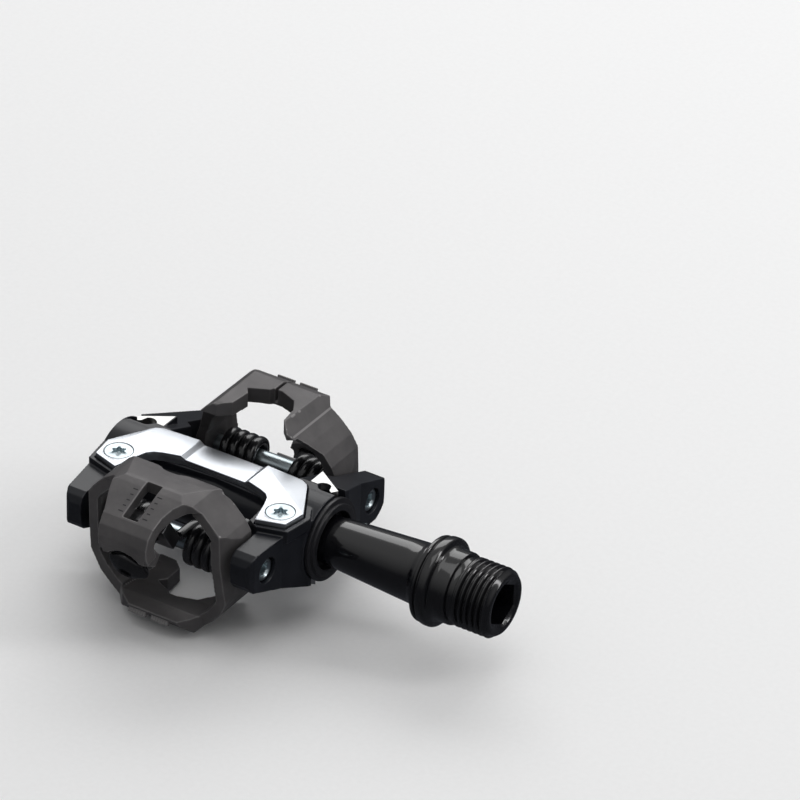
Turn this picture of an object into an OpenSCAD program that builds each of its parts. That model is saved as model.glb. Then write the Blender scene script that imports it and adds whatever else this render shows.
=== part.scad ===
// Clipless pedal, left side, two-sided, lying level as it is ridden.
// X runs along the spindle toward the crank, Y points forward, Z points up.
// The origin is on the spindle axis, on the face that seats against the crank.

/* [Spindle] */
// outside diameter of the crank thread (9/16 inch)
thread_d = 14.29; // [14.2:0.01:14.4]
// length of the threaded end past the seating face
thread_len = 9.4; // [8:0.1:14]
// hex key size in the threaded end
spindle_key = 8; // [6:1:8]
// diameter of the rounded flange
flange_d = 18.2; // [17:0.1:20]
// diameter of the neck next to the flange
neck_d = 12.6; // [12:0.1:13]

/* [Body] */
// distance from seating face to the middle of the body
body_centre = 55.2; // [54:0.1:58]
// outside diameter of the barrel between the arms
barrel_d = 14.4; // [14:0.1:15]
// outside diameter of the end collars
collar_d = 18.2; // [17.6:0.1:19]
// how far each arm reaches forward and back of the spindle
arm_reach = 24.6; // [24.2:0.1:26]
// height of the arm tops above the spindle axis
arm_top = 7.2; // [6.8:0.1:7.2]

/* [Hinge pins] */
// distance of each hinge pin forward or back of the spindle
pin_y = 18.7; // [18:0.1:19]
// height of the rear pin above the spindle axis
pin_z = 2.1; // [1.6:0.1:2.6]
// diameter of the hinge pins
pin_d = 4.2; // [3.8:0.1:4.2]

/* [Plates] */
// height of the plate tops above the spindle axis
plate_top = 9.4; // [9:0.1:10]
// depth of the shallow recess in the middle of each plate
plate_dip = 0.8; // [0.4:0.1:1.2]
// distance of each plate screw from the middle of the body
screw_u = 19.05; // [18.8:0.05:19.3]
// head diameter of the plate screws
screw_head_d = 5.9; // [5.4:0.1:6]

/* [Cages] */
// half width of each cage across its side arms
cage_half = 16.9; // [16.5:0.1:17.1]
// wall thickness of the cage casting
cage_wall = 2.6; // [2.2:0.1:3]
// height of the jaw ridge above the spindle axis
jaw_top = 16.9; // [16:0.1:17.4]
// width of the tension window
window_w = 3.4; // [3:0.1:4]
// head diameter of the tension adjuster
adjuster_d = 8.4; // [7.6:0.1:9]

/* [Springs] */
// wire diameter of the return springs
wire_d = 2; // [1.9:0.1:2.1]
// number of coils in each spring
coils = 5; // [4:1:5]

/* [Hidden] */
EPS = 0.01;
cx = -body_centre;
thread_r = thread_d / 2;
flange_r = flange_d / 2;
neck_r = neck_d / 2;
neck_end_r = 4.9;
seat_r = 4.6;
shaft_r = 4.3;
journal_r = 3;
fit = 0.04;
barrel_r = barrel_d / 2;
collar_r = collar_d / 2;
spindle_end = cx - 21.4;
cap_seat = cx - 25.4;
cap_lip = 0.7;
cap_stem = 3.6;
in_face = cx + 24.2;
arm_gap = 17.5;
hub_gap = 15.2;
bore_r = 5.4;
bearing_r = 6;
bearing_w = 4;
ball_r = 0.8;
ball_ring_r = 4.5;
groove_r = 0.86;
inner_race_r = 4.05;
outer_race_bore = 4.95;
balls = 9;
bearing_x = cx - 16.8;
nut_flats = 9.6;
nut_len = 3.6;
washer_r = 4.2;
washer_len = 0.8;
nut_x = bearing_x - washer_len - nut_len;
bush_x = cx + 3.2;
bush_len = 14;
seal_r = 7.2;
seal_x = cx + 20;
seal_len = 3.4;
lip_gap = 0.06;
lip_groove_r = 6.2;
lip_groove_len = 1.4;
ring_bore_r = 6.1;
ring_face_len = 0.9;
ring_step = 1.1;
ring_step_len = 0.5;
ring_r = 8.6;
pin_r = pin_d / 2;
pin_head_r = 2.55;
pin_key = 2.5;
pin_start = -21.2;
head_u = 19.6;
pin_head_len = 2.2;
hinge_gap = 0.05;
plate_under = 7.3;
rim_top = 8.4;
facet_top = 8.8;
pocket_u = 21.3;
pocket_y = 3.9;
pocket_r = 1.9;
pocket_floor = 5.6;
plate_gap = 0.25;
head_edge = 0.35;
head_cone = 1.4;
screw_y = -9.4;
screw_r = 1.5;
screw_len = 6;
cap_r = 7.5;
cap_key = 6;
cap_rise = 1.5;
tilt = 33;
head_y = -33.6;
head_z = 2.9;
bolt_u = 0.3;
bolt_r = 2.4;
bolt_len = 13;
nut_at = 7.4;
coil_r = 3.55;
wire_r = wire_d / 2;
coil_pitch = wire_d + 0.06;
leg_z = coil_r + 0.1;
tie_r = 0.7;
leg_r = 0.9;
leg_back = 4.3;
leg_ahead = 7;
spring_in = 3.4;
slip = 0.02;
ring_wire = 0.3;

module along_x(x, r, len) {
  translate([x, 0, 0]) rotate([0, 90, 0]) cylinder(r = r, h = len, $fn = 64);
}

module opposite() {
  rotate([180, 0, 0]) children();
}

// a side profile in (y, z) stretched along X between u1 and u2
module side_profile(points, u1, u2) {
  translate([cx + u1, 0, 0]) rotate([90, 0, 90]) linear_extrude(u2 - u1) polygon(points);
}

// a front profile in (u, z) stretched along Y between y1 and y2
module front_profile(points, y1, y2) {
  translate([cx, y2, 0]) rotate([90, 0, 0]) linear_extrude(y2 - y1) polygon(points);
}

// a plan shape in (u, y) stretched along Z between z1 and z2
module plan_shape(points, z1, z2) {
  translate([cx, 0, z1]) linear_extrude(z2 - z1) polygon(points);
}

module hex_hole(flats, x, len) {
  translate([x, 0, 0]) rotate([0, 90, 0]) cylinder(d = flats / cos(30), h = len, $fn = 6);
}

module at_bolt() {
  translate([cx + bolt_u, head_y, head_z]) rotate([tilt - 90, 0, 0]) children();
}

// ---- spindle group ----

function spindle_outline() = [
  [0, spindle_end], [journal_r, spindle_end],
  [journal_r, bearing_x + bearing_w], [shaft_r, bearing_x + bearing_w],
  [shaft_r, bush_x - 1], [seat_r, bush_x], [seat_r, bush_x + bush_len + 1.5],
  [neck_end_r, bush_x + bush_len + 3.5], [neck_end_r, -30],
  [neck_r, -8.6], [7.4, -7.4], [flange_r - 0.5, -6.2],
  [flange_r, -5], [flange_r, -3.4], [flange_r - 0.5, -1.6],
  [flange_r - 1.3, 0], [thread_r, 0], [thread_r, thread_len - 0.9],
  [thread_r - 0.9, thread_len], [0, thread_len]];

module spindle() {
  color([0.10, 0.10, 0.11])
  difference() {
    rotate([0, 90, 0]) rotate_extrude($fn = 96) polygon(spindle_outline());
    hex_hole(spindle_key, thread_len - 7, 7 + EPS);
  }
}

module spindle_nut() {
  color([0.62, 0.63, 0.65])
  difference() {
    hex_hole(nut_flats, nut_x, nut_len);
    along_x(nut_x - EPS, journal_r + slip, nut_len + 2 * EPS);
  }
}

module nut_washer() {
  color([0.70, 0.70, 0.72])
  difference() {
    along_x(bearing_x - washer_len, washer_r, washer_len);
    along_x(bearing_x - washer_len - EPS, journal_r + slip, washer_len + 2 * EPS);
  }
}

module race(outer, inner) {
  difference() {
    along_x(bearing_x, outer, bearing_w);
    along_x(bearing_x - EPS, inner, bearing_w + 2 * EPS);
    translate([bearing_x + bearing_w / 2, 0, 0]) rotate([0, 90, 0])
      rotate_extrude($fn = 64) translate([ball_ring_r, 0]) circle(r = groove_r, $fn = 32);
  }
}

module bearing_inner_race() {
  color([0.74, 0.75, 0.77]) race(inner_race_r, journal_r + slip);
}

module bearing_outer_race() {
  color([0.74, 0.75, 0.77]) race(bearing_r, outer_race_bore);
}

module bearing_balls() {
  color([0.80, 0.81, 0.83])
  for (k = [0 : balls - 1])
    rotate([360 / balls * k, 0, 0]) translate([bearing_x + bearing_w / 2, ball_ring_r, 0])
      sphere(r = ball_r, $fn = 32);
}

module spindle_bush() {
  color([0.55, 0.42, 0.22])
  difference() {
    along_x(bush_x, bore_r, bush_len);
    along_x(bush_x - EPS, seat_r + fit, bush_len + 2 * EPS);
  }
}

module inboard_seal() {
  color([0.07, 0.07, 0.07])
  difference() {
    along_x(seal_x, seal_r, seal_len);
    along_x(seal_x - EPS, neck_end_r + lip_gap, seal_len + 2 * EPS);
    along_x(seal_x + 1, lip_groove_r, lip_groove_len);
  }
}

module seal_ring() {
  color([0.09, 0.09, 0.10])
  difference() {
    union() {
      along_x(seal_x + seal_len, seal_r, 1);
      along_x(in_face, ring_r, ring_face_len);
      along_x(in_face + ring_face_len, ring_r - ring_step, ring_step_len);
    }
    along_x(seal_x + seal_len - 0.4, ring_bore_r, 5);
  }
}

// ---- body group ----

// rear arm seen from the side, and the front arm, whose lower corner is rounder
arm_outline = [[0, arm_top], [-arm_reach + 2.2, arm_top], [-arm_reach + 0.9, arm_top - 0.7],
  [-arm_reach + 0.1, arm_top - 2.2], [-arm_reach, 3], [-arm_reach + 0.3, 0.6],
  [-arm_reach + 1.3, -0.9], [-3.3, -9], [0, -9]];

front_outline = [[0, -arm_top], [arm_reach - 4.4, -arm_top], [arm_reach - 2.4, -6.2],
  [arm_reach - 0.8, -4.4], [arm_reach, -2], [arm_reach - 0.3, -0.6], [arm_reach - 1.3, 0.9],
  [3.3, 9], [0, 9]];

outboard_plan = [[-arm_gap, arm_reach], [-20.2, arm_reach], [-21.2, arm_reach - 0.6],
  [-21.8, arm_reach - 1.9], [-24.4, 6], [-24.4, -6], [-21.8, -arm_reach + 1.9],
  [-21.2, -arm_reach + 0.6], [-20.2, -arm_reach], [-arm_gap, -arm_reach], [-arm_gap, -12.2],
  [-hub_gap, -10.2], [-hub_gap, 10.2], [-arm_gap, 12.2]];

inboard_plan = [[arm_gap, -arm_reach], [20.8, -arm_reach], [21.8, -arm_reach + 0.5],
  [22.3, -arm_reach + 1.5], [22.6, -14], [24.2, -7], [24.2, 7], [22.6, 14],
  [22.3, arm_reach - 1.5], [21.8, arm_reach - 0.5], [20.8, arm_reach], [arm_gap, arm_reach],
  [arm_gap, 12.2], [hub_gap, 10.2], [hub_gap, -10.2], [arm_gap, -12.2]];

module arms() {
  intersection() {
    union() {
      side_profile(arm_outline, -25, 25);
      side_profile(front_outline, -25, 25);
    }
    union() {
      plan_shape(outboard_plan, -10, 10);
      plan_shape(inboard_plan, -10, 10);
    }
  }
}

// raised land that carries one plate, with its rim and front facets
rim_half = [[14.2, 2.8], [16.6, 3.6], [19, 2.6], [24.4, -7], [23.4, -13.4],
  [17.2, -15.2], [15, -14], [14.2, -6]];
facet_half = [[17.2, 2], [17.2, 8.4], [24, 3.8], [24, 0]];
pad_half = [[0, 3], [15.4, 3], [15.4, -5], [0, -3.9]];

function flip_u(points) = [for (p = points) [-p[0], p[1]]];

module land() {
  for (half = [rim_half, flip_u(rim_half)]) plan_shape(half, 5.6, rim_top);
  for (half = [facet_half, flip_u(facet_half)]) plan_shape(half, 4.5, facet_top);
  for (half = [pad_half, flip_u(pad_half)]) plan_shape(half, 3, plate_under);
}

module land_cuts() {
  translate([0, 0, plate_under]) linear_extrude(4) translate([cx, 0]) plate_flat(plate_gap);
  for (side = [-1, 1]) {
    translate([cx + side * pocket_u, pocket_y, pocket_floor]) cylinder(r = pocket_r, h = 5, $fn = 48);
    translate([cx + side * (pocket_u + pocket_r) - pocket_r, pocket_y - pocket_r, pocket_floor])
      cube([2 * pocket_r, 2 * pocket_r, 5]);
    translate([cx + side * screw_u, screw_y, 2.4]) cylinder(r = screw_r, h = 8, $fn = 32);
  }
}

module pin_holes() {
  translate([cx - 22, -pin_y, pin_z]) rotate([0, 90, 0])
    cylinder(r = pin_r + slip, h = 48, $fn = 48);
  translate([cx + 19.3, -pin_y, pin_z]) rotate([0, 90, 0])
    cylinder(r = pin_head_r + 0.15, h = 8, $fn = 48);
}

module pedal_body() {
  color([0.16, 0.16, 0.18])
  difference() {
    union() {
      along_x(cx - 18, barrel_r, 36);
      along_x(cx - 25.4, collar_r, 10.2);
      along_x(cx + hub_gap, collar_r, in_face - cx - hub_gap);
      arms();
      land();
      opposite() land();
    }
    land_cuts();
    opposite() land_cuts();
    pin_holes();
    opposite() pin_holes();
    along_x(bearing_x, bearing_r, bearing_w + EPS);
    along_x(cx - 26, bearing_r, bearing_x - cx + 26 + EPS);
    along_x(cx - 26, cap_r - 1 + slip, 4.3);
    along_x(cx - 26, cap_r + 0.1, 0.6 + cap_lip + slip);
    along_x(cap_seat, cap_r - 0.1, cap_lip + 3 * ring_wire);
    along_x(cx - 18, bore_r, 40);
    along_x(seal_x - slip, seal_r + slip, 8);
  }
}

module end_cap() {
  color([0.80, 0.81, 0.83])
  difference() {
    translate([cap_seat, 0, 0]) rotate([0, -90, 0]) rotate_extrude($fn = 96)
      polygon([[0, -cap_stem], [cap_r - 1, -cap_stem], [cap_r - 1, -cap_lip], [cap_r, -cap_lip],
        [cap_r, 0.2], [6.6, 0.75], [5.4, 1.2], [4, cap_rise], [0, cap_rise]]);
    hex_hole(cap_key, cx - 27.4, 4.4);
    translate([cx - 27 - EPS, 0, 0]) rotate([0, 90, 0])
      cylinder(r1 = 4, r2 = 3.2, h = 0.8, $fn = 48);
  }
}

module cap_o_ring() {
  color([0.05, 0.05, 0.05])
  translate([cap_seat + cap_lip + 1.5 * ring_wire, 0, 0]) rotate([0, 90, 0])
    rotate_extrude($fn = 64) translate([cap_r - 0.55, 0]) circle(r = ring_wire, $fn = 32);
}

plate_half = [[0, 2.9], [7.6, 2.9], [16.4, 2.4], [17.9, 1.6], [18.6, 0.7], [23.1, -7.4],
  [22.3, -12.6], [16.5, -14.4], [15, -9], [14.2, -6.9], [13.2, -5.8], [11.6, -5.1],
  [7, -3.75], [0, -3.75]];

module plate_flat(grow) {
  if (grow > 0) offset(delta = grow) plate_flat(0);
  else polygon(concat(plate_half, flip_u([for (k = [len(plate_half) - 1 : -1 : 0]) plate_half[k]])));
}

module screw_cone() {
  for (side = [-1, 1]) translate([cx + side * screw_u, screw_y, 0]) {
    translate([0, 0, plate_top - head_edge]) cylinder(r = screw_head_d / 2, h = 1, $fn = 48);
    translate([0, 0, plate_top - head_edge - head_cone])
      cylinder(r1 = screw_r, r2 = screw_head_d / 2, h = head_cone, $fn = 48);
  }
}

module plate() {
  difference() {
    translate([cx, 0, plate_under]) linear_extrude(plate_top - plate_under) plate_flat(0);
    front_profile([[-8, plate_top + EPS], [-7, plate_top - plate_dip],
      [7, plate_top - plate_dip], [8, plate_top + EPS]], -10, 10);
    screw_cone();
    for (side = [-1, 1])
      translate([cx + side * screw_u, screw_y, 5]) cylinder(r = screw_r, h = 6, $fn = 48);
  }
}

module top_plate() {
  color([0.86, 0.87, 0.89]) plate();
}

module bottom_plate() {
  color([0.86, 0.87, 0.89]) opposite() plate();
}

module screws() {
  difference() {
    union() {
      intersection() {
        screw_cone();
        translate([cx - 30, -20, 0]) cube([60, 40, plate_top]);
      }
      for (side = [-1, 1]) translate([cx + side * screw_u, screw_y, plate_top - screw_len - 0.1])
        cylinder(r = screw_r, h = screw_len - 1.5, $fn = 48);
    }
    for (side = [-1, 1]) for (turn = [0, 60, 120])
      translate([cx + side * screw_u, screw_y, plate_top - 0.9]) rotate([0, 0, turn])
        cube([2.7, 0.8, 2], center = true);
  }
}

module top_screws() {
  color([0.72, 0.75, 0.76]) screws();
}

module bottom_screws() {
  color([0.72, 0.75, 0.76]) opposite() screws();
}

module pin() {
  translate([0, -pin_y, pin_z]) difference() {
    union() {
      along_x(cx + pin_start, pin_r, head_u - pin_start + 0.7);
      along_x(cx + head_u, pin_head_r, pin_head_len);
    }
    hex_hole(pin_key, cx + head_u + 0.6, 3);
  }
}

module rear_pin() {
  color([0.72, 0.75, 0.76]) pin();
}

module front_pin() {
  color([0.72, 0.75, 0.76]) opposite() pin();
}

// ---- springs ----

module coil_stack() {
  for (k = [0 : coils - 1])
    translate([wire_r + k * coil_pitch, 0, 0]) rotate([0, 90, 0])
      rotate_extrude($fn = 48) translate([coil_r, 0]) circle(r = wire_r, $fn = 32);
  translate([wire_r, coil_r, 0]) rotate([0, 90, 0])
    cylinder(r = tie_r, h = (coils - 1) * coil_pitch, $fn = 24);
}

// one spring, its inner leg reaching back under the jaw, the outer leg forward
module spring(side) {
  translate([cx + bolt_u, -pin_y, pin_z]) on_side(side) translate([spring_in, 0, 0]) {
    coil_stack();
    translate([wire_r, 0, leg_z]) rotate([90, 0, 0]) cylinder(r = leg_r, h = leg_back, $fn = 32);
    translate([wire_r + (coils - 1) * coil_pitch, 0, leg_z]) rotate([-90, 0, 0])
      cylinder(r = leg_r, h = leg_ahead, $fn = 32);
  }
}

module on_side(side) {
  if (side > 0) children();
  else mirror([1, 0, 0]) children();
}

module rear_spring_outboard() {
  color([0.08, 0.08, 0.09]) spring(-1);
}

module rear_spring_inboard() {
  color([0.08, 0.08, 0.09]) spring(1);
}

module front_spring_outboard() {
  color([0.08, 0.08, 0.09]) opposite() spring(-1);
}

module front_spring_inboard() {
  color([0.08, 0.08, 0.09]) opposite() spring(1);
}

// ---- cages ----

ring_outer = [[-cage_half, -1], [-cage_half, 7.5], [-14.2, 11.4], [-11.6, 14.2], [-9.2, 15.7],
  [-6.6, jaw_top - 0.1], [6.8, jaw_top - 0.1], [9.6, 15.6], [12.8, 12.7], [15.8, 9.8],
  [cage_half, 7.8], [cage_half, -1], [15.9, -6], [14.6, -8.9], [12.4, -11.6], [10.2, -13.6],
  [7.6, -16.3], [-7.4, -16.3], [-9.4, -14.9], [-11.6, -12.4], [-14, -9.4], [-15.4, -5.5]];
ring_inner = [[-cage_half + cage_wall, -2.7], [-cage_half + cage_wall, 7], [-12.3, 9.8],
  [-10, 12.2], [-8.4, 13.2], [8.6, 13.2], [10.6, 11.8], [12.9, 9.4],
  [cage_half - cage_wall, 7.3], [cage_half - cage_wall, -2.7], [13.4, -6.4], [11.9, -8.8],
  [8.6, -12], [-8, -12], [-10.2, -10], [-12.2, -7.4], [-13.3, -5]];

// outline of one side arm, from the jaw down past the pin to the claw
strap_outline = [[-16, 5], [-16.2, 13.2], [-17.2, 15], [-19, 15.9], [-24.6, jaw_top],
  [-24.9, 10], [-24.6, 3], [-23.8, -3], [-23, -8], [-22.4, -12], [-21.6, -16.4], [-9, -16.4],
  [-9, -13.4], [-12.6, -9], [-14.1, -4], [-14.1, 3.4]];

// the rear edge of each arm turns in toward the opening
arm_plan = [[9, -8], [cage_half, -8], [cage_half, -19.4], [16.3, -22], [15.3, -24.9], [9, -24.9]];
lip_plan = [[14.5, -21.4], [13.8, -22.8], [13.1, -24.9], [15.3, -24.9], [16, -22]];

jaw_band = [[-15.6, 13.2], [-15.8, 14.6], [-16.8, 15.2], [-19.4, 15.9], [-24.6, jaw_top],
  [-26.4, 16.4], [-33.6, 13.2], [-35.2, 11.6], [-35.9, 9.4], [-35.8, 7.4], [-35, 5.8],
  [-32.6, 6.6], [-33.2, 9], [-32.8, 10.4], [-32, 11.1], [-25.8, 14], [-24.4, 14.3],
  [-18, 13.1]];

jaw_plan = [[-14.6, -17.4], [-11.6, -16.4], [-9.7, -15.8], [-7.4, -15.5], [-5.2, -15.7],
  [-3.8, -16.6], [-2.8, -17.4], [-1.2, -17.8], [0.6, -17.6], [2.2, -16.6], [3.8, -15.7],
  [6.6, -15.4], [9.4, -16.2], [13.6, -17.6], [15.4, -24.9], [11, -24.9], [8.6, -26.2],
  [6.9, -28.4], [6.1, -30.8], [5.9, -36.4], [-5.2, -36.4], [-5.8, -33], [-7.6, -28.8],
  [-8.6, -25.4], [-9.4, -24.9], [-15, -24.9]];

claw_band = [[-5, -14.2], [-7, -13.2], [-17, -12.6], [-23, -11.4], [-26.3, -12.1],
  [-25.4, -13.6], [-23.7, -15], [-21.4, -16.1], [-8, -16.3], [-5, -15.6]];

claw_plan = [[-10.6, -6.4], [-12.6, -12], [-12, -19], [-10, -22], [-7.8, -24.2], [-5, -26.2],
  [6.4, -26.2], [8.2, -24.4], [9.8, -22.2], [13.2, -17.4], [12.4, -9.6], [9.2, -7.4],
  [7.2, -9.4], [6.6, -13.6],
  [4.8, -16.6], [1, -18.2], [-1, -18.2], [-1.4, -17.4], [-5.4, -15.4], [-4.2, -13.8],
  [-4.6, -9], [-7, -6.8]];

slit = [[-0.7, -30], [0, -30], [0, -17], [-0.7, -17]];

module cage() {
  difference() {
    union() {
      intersection() {
        side_profile(strap_outline, -cage_half, cage_half);
        difference() {
          front_profile(ring_outer, -27, -8);
          front_profile(ring_inner, -28, -7);
        }
        for (half = [arm_plan, flip_u(arm_plan)]) plan_shape(half, -17, 17);
      }
      for (half = [lip_plan, flip_u(lip_plan)]) intersection() {
        plan_shape(half, -6, 8.4);
        front_profile(ring_outer, -27, -8);
        side_profile(strap_outline, -cage_half, cage_half);
      }
      intersection() {
        side_profile(jaw_band, -cage_half, cage_half);
        plan_shape(jaw_plan, 0, 20);
        front_profile(ring_outer, -40, -8);
      }
      intersection() {
        side_profile(claw_band, -cage_half, cage_half);
        plan_shape(claw_plan, -20, 0);
        front_profile(ring_outer, -40, -4);
      }
      at_bolt() translate([0, 0, 1.9]) cylinder(r = 4.3, h = 2.6, $fn = 48);
      side_profile([[-35.4, 5.6], [-35.9, 8], [-33, 8.4], [-29.9, 5.4], [-31.6, 3.4]], -4.6, 5.2);
    }
    translate([0, -pin_y, pin_z]) along_x(cx - 20, pin_r + hinge_gap, 40);
    at_bolt() translate([0, 0, -3]) cylinder(r = bolt_r + 0.08, h = 10, $fn = 48);
    at_bolt() translate([0, 0, -6]) cylinder(r = 4.8, h = 7.9, $fn = 48);
    plan_shape([[bolt_u - window_w / 2, -24.6], [bolt_u + window_w / 2, -24.6],
      [bolt_u + window_w / 2, -33.1], [bolt_u - window_w / 2, -33.1]], 9, 20);
    plan_shape(slit, -18, -13);
  }
}

module rear_cage() {
  color([0.42, 0.42, 0.44]) cage();
}

module front_cage() {
  color([0.42, 0.42, 0.44]) opposite() cage();
}

module adjuster() {
  at_bolt() difference() {
    union() {
      rotate_extrude($fn = 64) polygon([[0, -1.7], [2.4, -1.6], [3.6, -0.9], [adjuster_d / 2, 0.2],
        [adjuster_d / 2 - 0.2, 1], [3.4, 1.6], [0, 1.6]]);
      cylinder(r = bolt_r, h = bolt_len, $fn = 48);
    }
    translate([0, 0, -2]) cylinder(d = 3 / cos(30), h = 2, $fn = 6);
  }
}

module rear_adjuster() {
  color([0.06, 0.06, 0.07]) adjuster();
}

module front_adjuster() {
  color([0.06, 0.06, 0.07]) opposite() adjuster();
}

// threaded block carried on the bolt, with the pointer seen in the window
module tension_nut() {
  at_bolt() translate([0, 0, nut_at]) difference() {
    union() {
      translate([-4.9, -3.4, 0]) cube([9.8, 6.8, 2.8]);
      translate([-1.3, -4.6, 0.3]) cube([2.6, 4.6, 1.6]);
    }
    translate([0, 0, -1]) cylinder(r = bolt_r + 0.05, h = 6, $fn = 48);
  }
}

module rear_tension_nut() {
  color([0.66, 0.66, 0.67]) tension_nut();
}

module front_tension_nut() {
  color([0.66, 0.66, 0.67]) opposite() tension_nut();
}

spindle();
spindle_nut();
nut_washer();
bearing_inner_race();
bearing_outer_race();
bearing_balls();
spindle_bush();
inboard_seal();
seal_ring();
pedal_body();
end_cap();
cap_o_ring();
top_plate();
bottom_plate();
top_screws();
bottom_screws();
rear_pin();
front_pin();
rear_spring_outboard();
rear_spring_inboard();
front_spring_outboard();
front_spring_inboard();
rear_cage();
front_cage();
rear_adjuster();
front_adjuster();
rear_tension_nut();
front_tension_nut();
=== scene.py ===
import bpy
import bmesh
import math
from mathutils import Vector, Matrix, Quaternion


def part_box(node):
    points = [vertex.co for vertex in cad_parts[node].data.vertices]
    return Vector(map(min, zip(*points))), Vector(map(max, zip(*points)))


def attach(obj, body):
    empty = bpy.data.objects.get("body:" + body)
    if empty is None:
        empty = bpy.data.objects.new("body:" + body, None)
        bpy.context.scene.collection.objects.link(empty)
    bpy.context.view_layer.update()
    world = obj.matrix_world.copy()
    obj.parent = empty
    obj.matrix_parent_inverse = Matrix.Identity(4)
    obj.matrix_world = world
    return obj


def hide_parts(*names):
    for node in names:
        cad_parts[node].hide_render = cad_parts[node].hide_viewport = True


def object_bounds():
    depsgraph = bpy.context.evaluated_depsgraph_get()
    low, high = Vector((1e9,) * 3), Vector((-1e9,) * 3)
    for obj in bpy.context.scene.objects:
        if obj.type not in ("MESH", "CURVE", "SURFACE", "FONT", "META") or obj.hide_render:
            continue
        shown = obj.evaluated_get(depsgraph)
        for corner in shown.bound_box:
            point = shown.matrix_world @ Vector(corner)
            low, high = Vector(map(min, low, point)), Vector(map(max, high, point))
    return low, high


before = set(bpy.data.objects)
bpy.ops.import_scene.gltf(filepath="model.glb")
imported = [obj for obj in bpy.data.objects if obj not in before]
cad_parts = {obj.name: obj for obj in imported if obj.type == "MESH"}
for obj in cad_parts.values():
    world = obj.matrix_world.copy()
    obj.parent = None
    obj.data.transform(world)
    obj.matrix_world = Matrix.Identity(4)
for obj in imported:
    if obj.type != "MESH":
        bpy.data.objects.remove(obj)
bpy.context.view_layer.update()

MM = 0.001
plate_lo, plate_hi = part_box("top_plate")
CX = (plate_lo.x + plate_hi.x) / 2
PLATE_TOP = plate_hi.z
rear_pin_lo, rear_pin_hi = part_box("rear_pin")
PIN_Y = (rear_pin_lo.y + rear_pin_hi.y) / 2
PIN_Z = (rear_pin_lo.z + rear_pin_hi.z) / 2


# ---- materials ----

def new_material(name):
    mat = bpy.data.materials.new(name)
    mat.use_nodes = True
    tree = mat.node_tree
    shader = tree.nodes["Principled BSDF"]
    return mat, tree, shader


def node_of(tree, kind, **values):
    made = tree.nodes.new(kind)
    for key, value in values.items():
        if key in made.inputs:
            made.inputs[key].default_value = value
        else:
            setattr(made, key, value)
    return made


def ramp(tree, source, low, high, a, b):
    """A colour ramp from colour a at low to colour b at high, driven by source."""
    made = tree.nodes.new("ShaderNodeValToRGB")
    made.color_ramp.elements[0].position = low
    made.color_ramp.elements[1].position = high
    made.color_ramp.elements[0].color = (*a, 1)
    made.color_ramp.elements[1].color = (*b, 1)
    tree.links.new(source, made.inputs[0])
    return made.outputs[0]


def spread(tree, source, low, high):
    """source from 0..1 to low..high."""
    made = tree.nodes.new("ShaderNodeMapRange")
    made.inputs["To Min"].default_value = low
    made.inputs["To Max"].default_value = high
    tree.links.new(source, made.inputs["Value"])
    return made.outputs[0]


def metal(name, dark, light, metallic, rough, rough_spread, grain, bump, mottle=0.15, wear=None, coat=0.0,
          **extra):
    """A finish with colour mottling, a fine grain in roughness and bump, and paler worn edges."""
    mat, tree, shader = new_material(name)
    place = tree.nodes.new("ShaderNodeTexCoord").outputs["Object"]
    large = node_of(tree, "ShaderNodeTexNoise", Scale=mottle / MM, Detail=4.0, Roughness=0.6)
    fine = node_of(tree, "ShaderNodeTexNoise", Scale=grain / MM, Detail=3.0, Roughness=0.65)
    for each in (large, fine):
        tree.links.new(place, each.inputs["Vector"])
    colour = ramp(tree, large.outputs["Fac"], 0.3, 0.72, dark, light)
    if wear:
        edge = tree.nodes.new("ShaderNodeNewGeometry").outputs["Pointiness"]
        mask = ramp(tree, edge, wear[0], wear[1], (0, 0, 0), (1, 1, 1))
        broken = node_of(tree, "ShaderNodeMath", operation="MULTIPLY")
        tree.links.new(mask, broken.inputs[0])
        tree.links.new(spread(tree, fine.outputs["Fac"], 0.35, 1.0), broken.inputs[1])
        blend = tree.nodes.new("ShaderNodeMix")
        blend.data_type = "RGBA"
        tree.links.new(broken.outputs[0], blend.inputs["Factor"])
        tree.links.new(colour, blend.inputs["A"])
        blend.inputs["B"].default_value = (*wear[2], 1)
        colour = blend.outputs["Result"]
    tree.links.new(colour, shader.inputs["Base Color"])
    tree.links.new(spread(tree, fine.outputs["Fac"], rough - rough_spread, rough + rough_spread),
                   shader.inputs["Roughness"])
    lumps = node_of(tree, "ShaderNodeBump", Strength=bump, Distance=0.04 * MM)
    tree.links.new(fine.outputs["Fac"], lumps.inputs["Height"])
    tree.links.new(lumps.outputs[0], shader.inputs["Normal"])
    shader.inputs["Metallic"].default_value = metallic
    shader.inputs["Coat Weight"].default_value = coat
    for key, value in extra.items():
        shader.inputs[key.replace("_", " ")].default_value = value
    return mat


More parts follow.
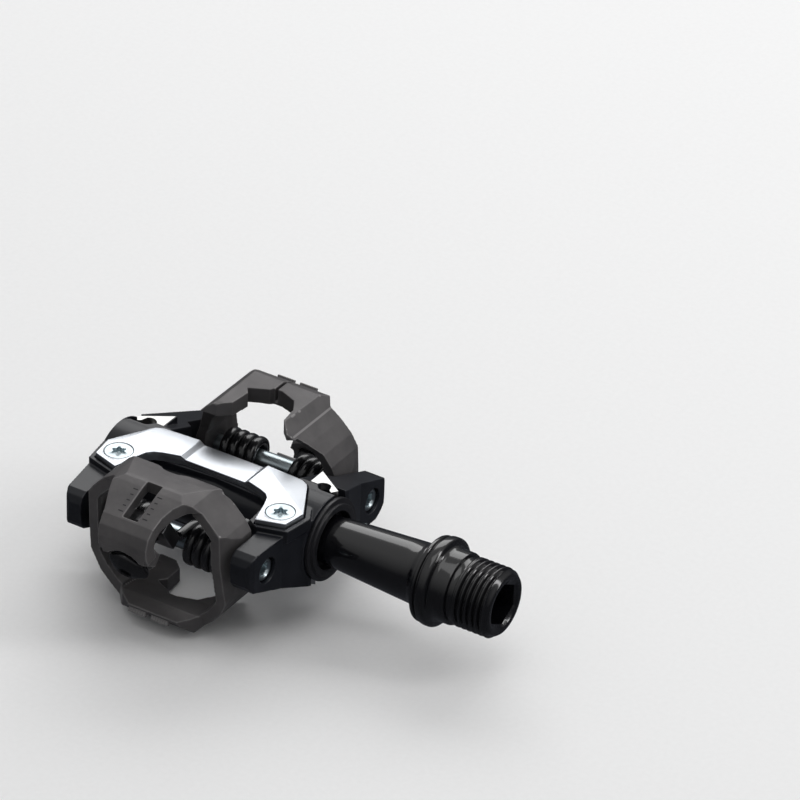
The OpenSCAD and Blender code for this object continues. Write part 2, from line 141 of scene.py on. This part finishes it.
MATERIALS = {
    "spindle_steel": metal("spindle_gloss_black", (0.003, 0.003, 0.004), (0.005, 0.005, 0.006), 0.0, 0.17,
                           0.05,
                           3, 0.06, coat=0.7, Specular_IOR_Level=0.45),
    "zinc_steel": metal("zinc_plated_steel", (0.40, 0.47, 0.50), (0.60, 0.66, 0.68), 1.0, 0.30, 0.08, 6,
                        0.15),
    "bearing_steel": metal("ground_bearing_steel", (0.55, 0.56, 0.58), (0.68, 0.69, 0.70), 1.0, 0.15, 0.04,
                           6, 0.05),
    "bush_bronze": metal("sintered_bronze", (0.34, 0.21, 0.09), (0.48, 0.31, 0.14), 1.0, 0.42, 0.08, 5, 0.2),
    "seal_rubber": metal("seal_rubber", (0.008, 0.008, 0.009), (0.014, 0.014, 0.015), 0.0, 0.55, 0.08, 4,
                         0.2),
    "ring_black": metal("ring_black", (0.010, 0.010, 0.012), (0.018, 0.018, 0.021), 0.2, 0.36, 0.07, 4, 0.12),
    "body_paint": metal("body_black_paint", (0.006, 0.007, 0.010), (0.011, 0.012, 0.016), 0.0, 0.36, 0.07,
                        5, 0.25,
                        wear=(0.53, 0.60, (0.10, 0.105, 0.12)), coat=0.12, Specular_IOR_Level=0.35),
    "cap_aluminium": metal("turned_aluminium", (0.50, 0.50, 0.49), (0.62, 0.62, 0.61), 1.0, 0.32, 0.08, 6,
                           0.1),
    "plate_steel": metal("satin_plate_steel", (0.55, 0.575, 0.61), (0.63, 0.655, 0.69), 1.0, 0.32, 0.08, 9,
                         0.35),
    "spring_black": metal("spring_gloss_black", (0.006, 0.006, 0.007), (0.012, 0.012, 0.014), 0.0, 0.24, 0.06,
                          4, 0.1, coat=0.4),
    "cage_grey": metal("cage_cast_grey", (0.085, 0.081, 0.083), (0.125, 0.119, 0.120), 0.45, 0.50, 0.10, 5,
                       0.5,
                       wear=(0.51, 0.57, (0.30, 0.29, 0.29))),
    "bolt_black": metal("bolt_black_oxide", (0.008, 0.008, 0.009), (0.016, 0.016, 0.018), 0.3, 0.25, 0.06,
                        5, 0.12),
    "nut_steel": metal("nut_steel", (0.30, 0.30, 0.31), (0.45, 0.45, 0.46), 1.0, 0.35, 0.08, 6, 0.2),
}

for name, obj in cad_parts.items():
    for place in obj.material_slots:
        found = [s for s in MATERIALS if place.material and place.material.name.startswith(s)]
        place.material = MATERIALS[found[0]]


# ---- building blocks ----

def smooth_edges(obj, width, segments=2, angle=35):
    """Rounds the sharp edges of obj, as deburring and coating do."""
    bevel = obj.modifiers.new("edge_radius", "BEVEL")
    bevel.limit_method = "ANGLE"
    bevel.angle_limit = math.radians(angle)
    bevel.width = width
    bevel.segments = segments
    bevel.miter_outer = "MITER_ARC"
    bevel.harden_normals = True


def crisp(obj, width, segments=2):
    """Merges the facets of a CAD node into flat faces and rounds its edges a little."""
    weld = obj.modifiers.new("weld", "WELD")
    weld.merge_threshold = 0.002 * MM
    flat = obj.modifiers.new("flat_faces", "DECIMATE")
    flat.decimate_type = "DISSOLVE"
    flat.angle_limit = math.radians(1.0)
    smooth_edges(obj, width, segments, 30)
    obj.data.shade_smooth()


def round_cast(obj, voxel, passes):
    """Softens a cast or forged part all over, as its mould radii do."""
    remesh = obj.modifiers.new("mould_radii", "REMESH")
    remesh.mode = "VOXEL"
    remesh.voxel_size = voxel
    remesh.use_smooth_shade = True
    relax = obj.modifiers.new("relax", "SMOOTH")
    relax.factor = 0.5
    relax.iterations = passes


def finish_piece(mesh, name, slot, body, nodes=(), edge=0.0, angle=32):
    """Turns a bmesh into a shown piece that rides on a body and stands for CAD nodes."""
    bmesh.ops.recalc_face_normals(mesh, faces=mesh.faces)
    data = bpy.data.meshes.new(name)
    mesh.to_mesh(data)
    mesh.free()
    data.shade_smooth()
    data.set_sharp_from_angle(angle=math.radians(angle))
    data.materials.append(MATERIALS[slot])
    obj = bpy.data.objects.new(name, data)
    bpy.context.scene.collection.objects.link(obj)
    if edge:
        smooth_edges(obj, edge, 2, angle)
    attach(obj, body)
    if nodes:
        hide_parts(*nodes)
    return obj


def axis_frame(origin, axis):
    """A frame whose Z runs along axis."""
    return Matrix.Translation(origin) @ Vector(axis).to_track_quat("Z", "Y").to_matrix().to_4x4()


def turned(mesh, profile, frame_matrix, segments=72):
    """Adds a turned solid. profile lists (z, radius) along the local Z.

    A radius may be a function of the angle.
    """
    loops = []
    for z, radius in profile:
        loop = []
        for k in range(segments):
            a = 2 * math.pi * k / segments
            r = radius(a) if callable(radius) else radius
            loop.append(mesh.verts.new(frame_matrix @ Vector((r * math.cos(a), r * math.sin(a), z))))
        loops.append(loop)
    skin(mesh, loops)


def skin(mesh, loops):
    """Joins closed loops of vertices into a tube and closes its two ends."""
    count = len(loops[0])
    for a, b in zip(loops, loops[1:]):
        for k in range(count):
            mesh.faces.new((a[k], a[(k + 1) % count], b[(k + 1) % count], b[k]))
    for loop in (loops[0], loops[-1]):
        middle = mesh.verts.new(sum((v.co for v in loop), Vector()) / count)
        for k in range(count):
            mesh.faces.new((loop[k], loop[(k + 1) % count], middle))


def hexagon(flats):
    return lambda a: flats / 2 / math.cos((a + math.pi / 6) % (math.pi / 3) - math.pi / 6)


def lobes(middle, depth, count=6):
    return lambda a: middle + depth * math.cos(count * a)


def scaled(profile):
    """A profile written in millimetres, in metres."""
    def one(r):
        return (lambda a: r(a) * MM) if callable(r) else r * MM
    return [(z * MM, one(r)) for z, r in profile]


def sweep(mesh, path, half_across, half_along, along, sides=14, power=2.6):
    """Sweeps a rounded square section along path. along is the direction that its second side keeps."""
    loops = []
    for k, here in enumerate(path):
        ahead = path[min(k + 1, len(path) - 1)] - path[max(k - 1, 0)]
        tangent = ahead.normalized()
        side = (along - tangent * along.dot(tangent)).normalized()
        across = tangent.cross(side)
        loop = []
        for m in range(sides):
            a = 2 * math.pi * (m + 0.5) / sides
            c, s = math.cos(a), math.sin(a)
            grow = (abs(c) ** power + abs(s) ** power) ** (-1 / power)
            reach = across * c * half_across + side * s * half_along
            loop.append(mesh.verts.new(here + reach * grow))
        loops.append(loop)
    skin(mesh, loops)


def slab(mesh, outline, low_z, high_z, place):
    """Adds a flat plate of the given outline between two heights of the frame place."""
    top = [mesh.verts.new(place @ Vector((x, y, high_z))) for x, y in outline]
    under = [mesh.verts.new(place @ Vector((x, y, low_z))) for x, y in outline]
    mesh.faces.new(top)
    mesh.faces.new(under[::-1])
    for k in range(len(outline)):
        n = (k + 1) % len(outline)
        mesh.faces.new((top[k], under[k], under[n], top[n]))


HALF_TURN = Matrix.Rotation(math.pi, 4, "X")


# ---- castings and plates ----

for name in ("rear_cage", "front_cage", "pedal_body"):
    round_cast(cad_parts[name], (0.15) * MM, 4)
for name in ("top_plate", "bottom_plate"):
    crisp(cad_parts[name], 0.22 * MM, 3)
for name in ("seal_ring", "inboard_seal", "spindle_nut", "nut_washer", "rear_tension_nut",
             "front_tension_nut"):
    crisp(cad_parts[name], 0.12 * MM, 2)


# ---- spindle, with its left-hand thread ----

THREAD_R, PITCH, DEPTH = 7.14, 25.4 / 20, 0.72
spin_low, spin_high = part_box("spindle")


def thread_radius(z):
    """Radius of the left-hand thread at height z, as a function of the angle."""
    def at(a):
        turn = (z / PITCH + a / (2 * math.pi)) % 1
        groove = 0.5 - 0.5 * math.cos(2 * math.pi * turn)
        fade = min(1, max(0, (z - 1.5) / 0.8))
        return THREAD_R - DEPTH * groove ** 1.2 * fade
    return at


def spindle_profile():
    """Outline from the inner end to the crank end, then down into the key socket."""
    length = spin_high.x / MM
    inner = spin_low.x / MM
    rows = [(inner, 2.6), (inner + 0.4, 3), (CX / MM - 12.8, 3), (CX / MM - 12.8, 4.3), (CX / MM + 2.2, 4.3),
            (CX / MM + 3.2, 4.6), (CX / MM + 18.7, 4.6), (CX / MM + 20.7, 4.9), (-30, 4.9)]
    for k in range(1, 9):
        t = k / 8
        rows.append((-30 + 20.6 * t, 4.9 + 1.36 * t ** 0.9))
    rows += [(-8.9, 6.42), (-8.4, 6.75), (-7.7, 6.9), (-7.2, 6.8), (-7.1, 6.9), (-7.05, 8.35), (-6.9, 8.7),
             (-6.65, 8.82), (-6.3, 8.82), (-6.15, 8.7), (-6.05, 8.42), (-5.75, 8.42), (-5.65, 8.85),
             (-5.45, 9.04), (-5.2, 9.09), (-4.3, 9.09), (-3.95, 9.0), (-3.7, 8.75), (-3.6, 8.35),
             (-3.5, 7.8), (-3.2, 7.55), (-2.7, 7.45), (-0.4, 7.4), (-0.1, 7.3), (0, 7.1), (0.05, 6.6),
             (0.35, 6.42), (1.1, 6.42), (1.5, 6.9)]
    z = 1.56
    while z < length - 0.95:
        rows.append((z, thread_radius(z)))
        z += PITCH / 20
    rows += [(length - 0.9, lambda a: min(6.9, thread_radius(length - 0.9)(a))), (length - 0.35, 6.42),
             (length - 0.08, 6.2), (length, 5.95), (length, 5.2), (length - 0.12, 5.0),
             (length - 0.55, hexagon(8)), (length - 7.0, hexagon(8)), (length - 7.01, 3.0),
             (length - 7.02, 0.5)]
    return scaled(rows)


mesh = bmesh.new()
turned(mesh, spindle_profile(), axis_frame(Vector(), (1, 0, 0)), 144)
finish_piece(mesh, "spindle_turned", "spindle_steel", "spindle", ["spindle"], 0.0, 34)


# ---- end cap ----

cap_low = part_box("end_cap")[0]
mesh = bmesh.new()
turned(mesh, scaled([(-3.5, 6.3), (-3.4, 6.45), (-0.75, 6.45), (-0.7, 7.35), (-0.6, 7.46), (-0.1, 7.48),
                     (0.05, 7.4),
                     (0.14, 7.2), (0.2, 7.15), (0.5, 6.75), (0.86, 6.1), (1.15, 5.2), (1.33, 4.5),
                     (1.44, 4.05),
                     (1.46, 3.9), (1.40, 3.75), (0.75, 3.42), (0.35, hexagon(6)), (-2.3, hexagon(6)),
                     (-2.6, 2.4),
                     (-2.7, 1.0)]),
       axis_frame(Vector((cap_low.x + 1.5 * MM, 0, 0)), (-1, 0, 0)), 96)
finish_piece(mesh, "end_cap_turned", "cap_aluminium", "body", ["end_cap"], 0.0, 28)


# ---- plate screws, hinge pins and tension adjusters ----

screw_low, screw_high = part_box("top_screws")
SCREW_Y = (screw_low.y + screw_high.y) / 2
SCREW_U = (screw_high.x - screw_low.x) / 2 - 2.95 * MM
SCREW_HEAD = [(-5.6, 1.1), (-5.4, 1.45), (-1.75, 1.45), (-0.42, 2.72), (-0.30, 2.86), (-0.06, 2.88),
              (-0.01, 2.80),
              (0.0, 2.6), (0.0, 1.62), (-0.07, lobes(1.30, 0.20)), (-1.05, lobes(1.22, 0.19)), (-1.2, 0.8),
              (-1.3, 0.3)]
for name, turn in (("top_screws", Matrix.Identity(4)), ("bottom_screws", HALF_TURN)):
    mesh = bmesh.new()
    for side in (-1, 1):
        spot = Vector((CX + side * SCREW_U, SCREW_Y, PLATE_TOP - 0.02 * MM))
        turned(mesh, scaled(SCREW_HEAD), turn @ axis_frame(spot, (0, 0, 1)), 72)
    finish_piece(mesh, name + "_torx", "zinc_steel", "body", [name], 0.0, 40)

PIN = [(0.0, 1.7), (0.25, 2.08), (40.6, 2.08), (40.75, 2.3), (40.9, 2.5), (42.55, 2.52), (42.8, 2.42),
       (42.95, 2.2),
       (43.0, 2.0), (43.0, 1.72), (42.8, 1.5), (42.55, hexagon(2.5)), (41.3, hexagon(2.5)), (41.2, 0.7),
       (41.15, 0.2)]
for name, turn in (("rear_pin", Matrix.Identity(4)), ("front_pin", HALF_TURN)):
    mesh = bmesh.new()
    spot = Vector((rear_pin_lo.x, PIN_Y, PIN_Z))
    turned(mesh, scaled(PIN), turn @ axis_frame(spot, (1, 0, 0)), 60)
    finish_piece(mesh, name + "_hex", "zinc_steel", "body", [name], 0.0, 40)

TILT = math.radians(33)
BOLT_U, HEAD_Y, HEAD_Z = 0.3 * MM, -33.6 * MM, 2.9 * MM
BOLT_AXIS = Vector((0, -math.cos(TILT), -math.sin(TILT)))


def knurl(radius):
    """A head's rim with six shallow flats."""
    return lambda a: min(radius, radius * 0.925 / math.cos((a + math.pi / 6) % (math.pi / 3) - math.pi / 6))


ADJUSTER = [(-12.9, 1.6), (-12.6, 2.3), (-1.5, 2.3), (-1.45, 3.2), (-1.1, knurl(3.75)), (-0.6, knurl(4.12)),
            (-0.3, knurl(4.2)), (0.1, knurl(4.2)), (0.3, knurl(4.1)), (0.55, knurl(3.86)), (0.62, knurl(3.7)),
            (0.95, knurl(3.2)), (1.35, 2.5), (1.55, 1.95), (1.62, 1.7), (1.58, 1.6), (1.45, hexagon(2.5)),
            (0.2, hexagon(2.5)), (0.1, 0.6), (0.08, 0.2)]
for name, turn, body in (("rear_adjuster", Matrix.Identity(4), "rear_adjuster"),
                         ("front_adjuster", HALF_TURN, "front_adjuster")):
    mesh = bmesh.new()
    spot = Vector((CX + BOLT_U, HEAD_Y, HEAD_Z))
    turned(mesh, scaled(ADJUSTER), turn @ axis_frame(spot, BOLT_AXIS), 72)
    finish_piece(mesh, name + "_bolt", "bolt_black", body, [name], 0.0, 30)


# ---- springs, wound as real helices ----

spring_low, spring_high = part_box("rear_spring_inboard")
WIRE = 1.0
COIL_R = 3.55
TURNS = 4
COIL_LEN = (spring_high.x - spring_low.x) / MM - 2 * WIRE


def spring_path():
    """Centre line in millimetres: a leg back, the coils, and a leg ahead. X runs outward from the middle."""
    path = [Vector((WIRE, -4.3 + 0.43 * k, COIL_R + 0.05)) for k in range(10)]
    steps = 32 * TURNS
    for k in range(steps + 1):
        a = 2 * math.pi * TURNS * k / steps
        path.append(Vector((WIRE + COIL_LEN * k / steps, COIL_R * math.sin(a), COIL_R * math.cos(a))))
    path += [Vector((WIRE + COIL_LEN, 0.7 * k, COIL_R + 0.05)) for k in range(1, 11)]
    return path


for end, turn in (("rear", Matrix.Identity(4)), ("front", HALF_TURN)):
    for side, sign in (("inboard", 1), ("outboard", -1)):
        start = (spring_low.x - CX) if sign > 0 else (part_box("rear_spring_outboard")[1].x - CX)
        place = turn @ Matrix.Translation((CX + start, PIN_Y, PIN_Z))
        mesh = bmesh.new()
        points = [place @ Vector((sign * p.x * MM, p.y * MM, p.z * MM)) for p in spring_path()]
        sweep(mesh, points, 0.95 * MM, 0.99 * MM, Vector((1, 0, 0)))
        finish_piece(mesh, end + "_spring_" + side + "_wire", "spring_black", "body",
                     [end + "_spring_" + side], 0.0, 60)


# ---- machined facets, side ridges and setting ticks ----

def facet_outline(side):
    """The machined face beside each end of a plate: two legs around a round pocket."""
    points = [(17.45, 3.1), (17.45, 8.0), (23.85, 3.75), (22.95, 2.5), (22.3, 2.95)]
    for k in range(9):
        a = math.radians(50 + 110 * k / 8)
        points.append((20.7 + 1.75 * math.cos(a), 3.05 + 1.75 * math.sin(a)))
    return [(CX + side * u * MM, y * MM) for u, y in points]


FACE_TOP = PLATE_TOP - 0.6 * MM
for name, turn in (("top_facets", Matrix.Identity(4)), ("bottom_facets", HALF_TURN)):
    mesh = bmesh.new()
    for side in (-1, 1):
        slab(mesh, facet_outline(side), FACE_TOP - 1.6 * MM, FACE_TOP + 0.04 * MM, turn)
    finish_piece(mesh, name, "cap_aluminium", "body", (), 0.04 * MM)


def ridge(mesh, place, half_wide, low_z, high_z, depth):
    """One upright machined ridge with a rounded crest. place has its X along the wall and Y out of it."""
    loops = []
    for z in (low_z, low_z + 0.15, high_z - 0.15, high_z):
        inset = 0.5 if z in (low_z, high_z) else 1.0
        crest = half_wide * 0.6
        row = [(half_wide, -0.25), (half_wide, 0.0), (crest, depth * inset), (-crest, depth * inset),
               (-half_wide, 0.0), (-half_wide, -0.25)]
        loops.append([mesh.verts.new(place @ Vector((x * MM, y * MM, z * MM))) for x, y in row])
    skin(mesh, loops)


for name, turn in (("rear_ridges", Matrix.Identity(4)), ("front_ridges", HALF_TURN)):
    mesh = bmesh.new()
    start, end = Vector((-24.4, -6.0)), Vector((-21.8, -22.7))
    wall = (end - start).normalized()
    out = Vector((wall.y, -wall.x))
    for k in range(20):
        spot = start + (end - start) * (k + 0.5) / 20
        base = Matrix(((wall.x, out.x, 0, CX + spot.x * MM), (wall.y, out.y, 0, spot.y * MM), (0, 0, 1, 0),
                       (0, 0, 0, 1)))
        low_end = -8.0 + (-spot.y - 3.3) * 0.405 + (0.7 if -spot.y > 19 else 0)
        ridge(mesh, turn @ base, 0.24, low_end, 6.6 if -spot.y < 21 else 5.6, 0.10)
    finish_piece(mesh, name, "cap_aluminium", "body")

for name, turn, body in (("rear_ticks", Matrix.Identity(4), "rear_cage"),
                         ("front_ticks", HALF_TURN, "front_cage")):
    mesh = bmesh.new()
    slope = Matrix.Rotation(math.atan2(3.2, 7.2), 4, "X")
    for side_u in (-2.5, 3.1):
        for k in range(5):
            along_y = -27.2 - 1.25 * k
            height = 16.4 + (along_y + 26.4) * 3.2 / 7.2
            place = turn @ Matrix.Translation((CX + side_u * MM, along_y * MM, height * MM)) @ slope
            half = 0.55 if k in (0, 4) else 0.36
            outline = [(x * half * MM, y * 0.12 * MM) for x, y in ((-1, -1), (1, -1), (1, 1), (-1, 1))]
            slab(mesh, outline, -0.2 * MM, 0.02 * MM, place)
    finish_piece(mesh, name, "ring_black", body)


# two raised pads beside the slit in the lip of each claw, with fine ridges across them
for name, turn, body in (("rear_pads", Matrix.Identity(4), "rear_cage"),
                         ("front_pads", HALF_TURN, "front_cage")):
    mesh = bmesh.new()
    lean = Matrix.Rotation(math.atan2(-0.9, 1.5), 4, "X")
    for start, end in ((-5.0, -1.0), (0.3, 4.3)):
        place = turn @ Matrix.Translation((CX, -25.75 * MM, -12.95 * MM)) @ lean
        for k in range(7):
            a, b = start + (end - start) * k / 7, start + (end - start) * (k + 0.8) / 7
            outline = [(a * MM, -0.14 * MM), (b * MM, -0.14 * MM), (b * MM, 0.6 * MM), (a * MM, 0.6 * MM)]
            slab(mesh, outline, -0.95 * MM, 0.85 * MM, place)
        outline = [(start * MM, -0.06 * MM), (end * MM, -0.06 * MM), (end * MM, 0.6 * MM),
                   (start * MM, 0.6 * MM)]
        slab(mesh, outline, -0.9 * MM, 0.8 * MM, place)
    finish_piece(mesh, name, "cage_grey", body, (), 0.06 * MM)


# ---- floor, light and camera ----

low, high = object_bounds()
FLOOR_Z = low.z - 0.05 * MM

floor_mesh = bpy.data.meshes.new("floor")
grid = bmesh.new()
bmesh.ops.create_grid(grid, x_segments=24, y_segments=24, size=3.0)
grid.to_mesh(floor_mesh)
grid.free()
floor = bpy.data.objects.new("floor", floor_mesh)
floor.location = (CX, 0, FLOOR_Z)
bpy.context.scene.collection.objects.link(floor)
floor_mat, tree, shader = new_material("floor_paper")
paper = node_of(tree, "ShaderNodeTexNoise", Scale=900.0, Detail=3.0)
tree.links.new(tree.nodes.new("ShaderNodeTexCoord").outputs["Object"], paper.inputs["Vector"])
tree.links.new(ramp(tree, paper.outputs["Fac"], 0.3, 0.7, (0.87, 0.87, 0.87), (0.89, 0.89, 0.89)),
               shader.inputs["Base Color"])
shader.inputs["Roughness"].default_value = 0.9
shader.inputs["Specular IOR Level"].default_value = 0.1
floor.data.materials.append(floor_mat)
floor.visible_glossy = False

world = bpy.data.worlds.new("studio")
bpy.context.scene.world = world
world.use_nodes = True
sky = world.node_tree
direction = sky.nodes.new("ShaderNodeTexCoord").outputs["Generated"]
split = sky.nodes.new("ShaderNodeSeparateXYZ")
sky.links.new(direction, split.inputs[0])
tint = ramp(sky, split.outputs["Z"], 0.0, 0.75, (0.10, 0.105, 0.12), (1.0, 1.0, 1.0))
sky.links.new(tint, sky.nodes["Background"].inputs["Color"])
sky.nodes["Background"].inputs["Strength"].default_value = 0.52


def softbox(name, place, target, width, height, watts):
    lamp = bpy.data.lights.new(name, "AREA")
    lamp.shape = "RECTANGLE"
    lamp.size = width
    lamp.size_y = height
    lamp.energy = watts
    made = bpy.data.objects.new(name, lamp)
    made.location = place
    made.rotation_mode = "QUATERNION"
    made.rotation_quaternion = (Vector(target) - Vector(place)).to_track_quat("-Z", "Y")
    bpy.context.scene.collection.objects.link(made)


centre = (low + high) / 2
softbox("back_softbox", centre + Vector((-0.25, 0.60, 0.55)), centre, 0.9, 0.5, 3.0)
softbox("top_softbox", centre + Vector((0.10, -0.10, 0.95)), centre, 0.7, 0.7, 1.7)
softbox("side_strip", centre + Vector((0.70, 0.30, 0.42)), centre, 0.14, 0.9, 2.2)

AZIMUTH, ELEVATION, ROLL = math.radians(31.58), math.radians(32.14), math.radians(1.82)
camera_data = bpy.data.cameras.new("camera")
camera_data.sensor_width = 36
camera_data.lens = 233.9
camera_data.clip_start = 0.01
camera_data.clip_end = 20
camera = bpy.data.objects.new("camera", camera_data)
bpy.context.scene.collection.objects.link(camera)
back = Vector((math.sin(AZIMUTH) * math.cos(ELEVATION), -math.cos(AZIMUTH) * math.cos(ELEVATION),
               math.sin(ELEVATION)))
aim = Vector((CX + 33.07 * MM, 10.53 * MM, 29.59 * MM))
camera.location = aim + back * 1.0
camera.rotation_mode = "QUATERNION"
camera.rotation_quaternion = (-back).to_track_quat("-Z", "Y") @ Quaternion((0, 0, 1), ROLL)
bpy.context.scene.camera = camera
bpy.context.scene.view_settings.view_transform = "Standard"
